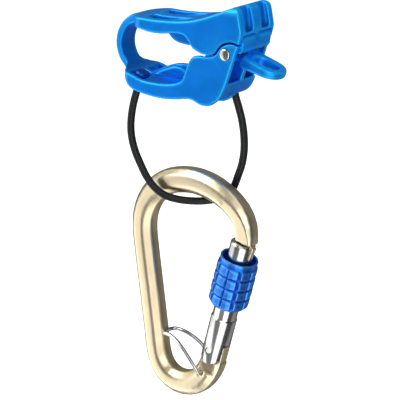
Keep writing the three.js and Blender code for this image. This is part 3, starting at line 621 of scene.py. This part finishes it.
def forged(node, name, voxel, rounds, cutters=(), softer=None):
    """A copy that is cut, remeshed to an even net and smoothed, for the soft edges of a forging."""
    piece = copied(node, name)
    for cutter in cutters:
        apply(piece, "BOOLEAN", "cut", operation="DIFFERENCE", solver="EXACT", object=cutter)
        bpy.data.objects.remove(cutter)
    apply(piece, "REMESH", "even", mode="VOXEL", voxel_size=voxel * MM)
    piece = largest_part(piece)
    apply(piece, "SMOOTH", "soft", factor=0.5, iterations=rounds)
    if softer:
        weigh(piece, "softer", softer)
        more = SOFTER_TIMES * rounds
        apply(piece, "SMOOTH", "softer", factor=0.5, iterations=more, vertex_group="softer")
    relief(piece, **RELIEF_ROUNDS)
    triangles = 2 * len(piece.data.polygons)
    if triangles > TRIANGLE_LIMIT:
        apply(piece, "DECIMATE", "fewer", ratio=TRIANGLE_LIMIT / triangles)
    bpy.ops.object.shade_smooth()
    return piece


def machined(node, name, edge):
    """A copy with its sharp edges broken by a narrow bevel, for turned and milled pieces."""
    piece = copied(node, name)
    apply(
        piece, "BEVEL", "edges", width=edge * MM, segments=2, limit_method="ANGLE",
        angle_limit=math.radians(40), use_clamp_overlap=True,
    )
    bpy.ops.object.shade_smooth_by_angle(angle=math.radians(35))
    return piece


def dress(piece, node, body, material):
    """Gives a piece its finish, and puts it on its body in place of a node."""
    piece.data.materials.clear()
    piece.data.materials.append(material)
    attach(piece, body)
    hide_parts(node)
    print(piece.name, "faces", len(piece.data.polygons))


# %% [markdown]
# ## Where the carabiner hangs
# The carabiner hangs turned by a few degrees in the bight of the cable, and its gate leans away from its
# spine. Its details are easier to place in its own millimetres, and along and across the gate from its
# hinge, than in the object's metres. Matrices take them from there to the object.


# %% The carabiner's place and its gate
def moved(x, y, z):
    """A matrix that moves by a distance on each axis."""
    return Matrix.Translation(Vector((x, y, z)))


def turned(degrees, axis):
    """A matrix that turns about an axis."""
    return Matrix.Rotation(math.radians(degrees), 4, axis)


CARABINER_PLACE = moved(20, 0, -75.3) @ turned(-5, "Z")
HINGE = Vector((12.587, 0, -85.238))
GATE_UP = Vector((0.279, 0, 0.9603))
GATE_OUT = Vector((0.9603, 0, -0.279))
GATE_TURN = turned(GATE_LEAN, "Y")
print("hinge at", tuple(round(v, 1) for v in CARABINER_PLACE @ HINGE), "mm")

# %% [markdown]
# ## The milled flats and the bail's holes
# The bar is milled flat on both faces under the gate's foot, and the nose thins towards the gate, so that
# its face widens there behind a crisp ridge. The feet of the bail go into drilled holes. Faces could be
# moved to shape all this, but blocks and drills cut it as the real tools do, before the copy is remeshed.

# %% Cutters for one face of the bar
# A flat's centre lies across the gate, out from the middle of the bar and along the gate from its hinge.
# The drill's place is the carabiner's own. Lengths are in millimetres, and turns in degrees.
FOOT_FLAT = {"centre": (-2.3, 4.25, -7.8), "size": (13.4, 4, 11.6), "tilt": 4.4, "turn": -9}
NOSE_FLAT = {"centre": (-1, 4.79, 71.5), "size": (28, 4, 22), "tilt": -6.8}
DRILL_RADIUS = 1.9
DRILL_LENGTH = 3
DRILL_PLACE = (6.33, 6.2, -98.76)


def placed_cutter(*moves):
    """The primitive that was just added, taken through these moves on the carabiner."""
    cutter = bpy.context.object
    place = Matrix.Scale(MM, 4) @ CARABINER_PLACE
    for move in moves:
        place = place @ move
    cutter.matrix_world = place
    bpy.ops.object.transform_apply(location=True, rotation=True, scale=True)
    return cutter


def flat_cutter(side, centre, size, tilt, turn=0):
    """A block that mills a flat into one face of the bar: it tilts along the gate and turns about it."""
    bpy.ops.object.select_all(action="DESELECT")
    bpy.ops.mesh.primitive_cube_add(size=1)
    across, out, along = centre
    place = Matrix.Translation(HINGE) @ GATE_TURN @ moved(across, out * side, along)
    slope = turned(turn * side, "Z") @ turned(tilt * side, "X")
    outside = moved(0, size[1] / 2 * side, 0) @ Matrix.Diagonal((*size, 1))
    return placed_cutter(place, slope, outside)


def drill(side):
    """A short drill that opens the bar round the foot of the bail's wire."""
    bpy.ops.object.select_all(action="DESELECT")
    bpy.ops.mesh.primitive_cylinder_add(radius=DRILL_RADIUS, depth=DRILL_LENGTH, vertices=32)
    x, y, z = DRILL_PLACE
    return placed_cutter(moved(x, y * side, z) @ turned(90, "X"))


frame_cutters = []
for side in (-1, 1):
    frame_cutters += [flat_cutter(side, **FOOT_FLAT), flat_cutter(side, **NOSE_FLAT), drill(side)]
print("cutters", len(frame_cutters))

# %% [markdown]
# ## The rounder part of the bar
# Away from the gate the bar keeps the round edges of its forging, and at the nose and the hinge it is
# milled and crisp. One smoothing of the whole frame would lose the crisp part, so a second one follows,
# which grows with the distance from the gate.

# %% A share that grows away from the gate
GATE_SPAN = (-8, 60)
CRISP_REACH = 9


def far_from_gate(places):
    """0 as far as the crisp reach from the gate, and 1 from twice that distance on."""
    turn = np.array(CARABINER_PLACE.inverted())
    local = places @ turn[:3, :3].T + turn[:3, 3] - np.array(HINGE)
    along = local @ np.array(GATE_UP)
    across = local @ np.array(GATE_OUT)
    beyond = along - np.clip(along, *GATE_SPAN)
    return np.clip((np.hypot(across, beyond) - CRISP_REACH) / CRISP_REACH, 0, 1)


print("share at the hinge", far_from_gate(np.array([CARABINER_PLACE @ HINGE]))[0])

# %% [markdown]
# ## The pieces
# The belay body, the carabiner's frame and the sleeve have soft edges, so they are remeshed, with a net
# that is fine enough to keep the body's ribs and the sleeve's pads. The gate and the rivet are turned, so
# they only get a narrow bevel.

# %% The forged and turned pieces
BODY_VOXEL, FRAME_VOXEL, SLEEVE_VOXEL = ((0.3, 0.36, 0.3))
BODY_ROUNDS, FRAME_ROUNDS, SLEEVE_ROUNDS = ((12, 10, 4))
GATE_EDGE, RIVET_EDGE = 0.2, 0.15

body_piece = forged("belay_body", "forged_body", BODY_VOXEL, BODY_ROUNDS)
dress(body_piece, "belay_body", "device", blue)
frame_piece = forged(
    "carabiner_frame", "forged_frame", FRAME_VOXEL, FRAME_ROUNDS, frame_cutters, far_from_gate,
)
dress(frame_piece, "carabiner_frame", "carabiner", champagne)
sleeve_piece = forged("lock_sleeve", "screw_sleeve", SLEEVE_VOXEL, SLEEVE_ROUNDS)
dress(sleeve_piece, "lock_sleeve", "sleeve", sleeve_blue)
dress(machined("gate_barrel", "turned_gate", GATE_EDGE), "gate_barrel", "gate", polished)
dress(machined("end_rivet", "rivet", RIVET_EDGE), "end_rivet", "device", polished)

# %% [markdown]
# ## The wire bail
# The bail is one round wire. It springs into a hole on each side of the carabiner's bar and arches over
# to the spine, where it closes the basket that the belay loop sits in. It could be bent from a cylinder
# in edit mode, but a curve with a bevel keeps its round section in every bend. One half is written down,
# and the other is its mirror image.

# %% The bail
BAIL_DIAMETER = 2 * MM
BAIL_HALF = [
    (6.33, -3.35, -98.76), (6.33, -5.45, -98.76), (6.33, -6.35, -98.76), (4.76, -7.1, -96.32),
    (1.09, -7.1, -92.65), (-3.62, -6.68, -88.38), (-9.38, -5.6, -85.02), (-14.62, -4.7, -83.5),
    (-18.81, -4.1, -83.5), (-19.86, 0, -83.5),
]

other_half = [(x, -y, z) for x, y, z in reversed(BAIL_HALF[:-1])]
bail_line = [(CARABINER_PLACE @ point) * MM for point in smooth_line(BAIL_HALF + other_half, per_span=5)]
wire = bpy.data.curves.new("bail", "CURVE")
wire.dimensions = "3D"
wire.bevel_depth = BAIL_DIAMETER / 2
wire.bevel_resolution = 3
wire.use_fill_caps = True
wire.splines.new("POLY").points.add(len(bail_line) - 1)
for point, place in zip(wire.splines[0].points, bail_line):
    point.co = (*place, 1)
bail = bpy.data.objects.new("bail", wire)
bpy.context.scene.collection.objects.link(bail)
make_active(bail)
bpy.ops.object.convert(target="MESH")
bpy.ops.object.shade_smooth_by_angle(angle=math.radians(40))
dress(bail, "wire_bail", "bail", drawn_wire)

# %% [markdown]
# ## The closing spring
# Inside the gate a coil spring presses the plunger on the tang. Its solid already has every turn, so a
# merged copy with smooth shading is enough.

spring = copied("gate_spring", "closing_spring")
bpy.ops.object.shade_smooth_by_angle(angle=math.radians(60))
dress(spring, "gate_spring", "gate", steel)
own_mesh(spring)

# %% [markdown]
# ## The small turned parts
# The ferrules, the gate's pin and the plunger are plain turned parts that hardly show. They could be copied
# and bevelled too, but their solids are right as they are, so they only get a finish.

# %% The CAD nodes that stay
STAYING_NODES = {
    "left_ferrule": blued_steel,
    "right_ferrule": blued_steel,
    "gate_pin": polished,
    "gate_plunger": steel,
}

for node, finish in STAYING_NODES.items():
    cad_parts[node].data.materials.clear()
    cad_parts[node].data.materials.append(finish)
print("nodes that stay", sorted(STAYING_NODES))

# %% [markdown]
# ## The view
# The standard view shows colours as they are written, without the softer contrast of a film.

bpy.context.scene.view_settings.view_transform = "Standard"
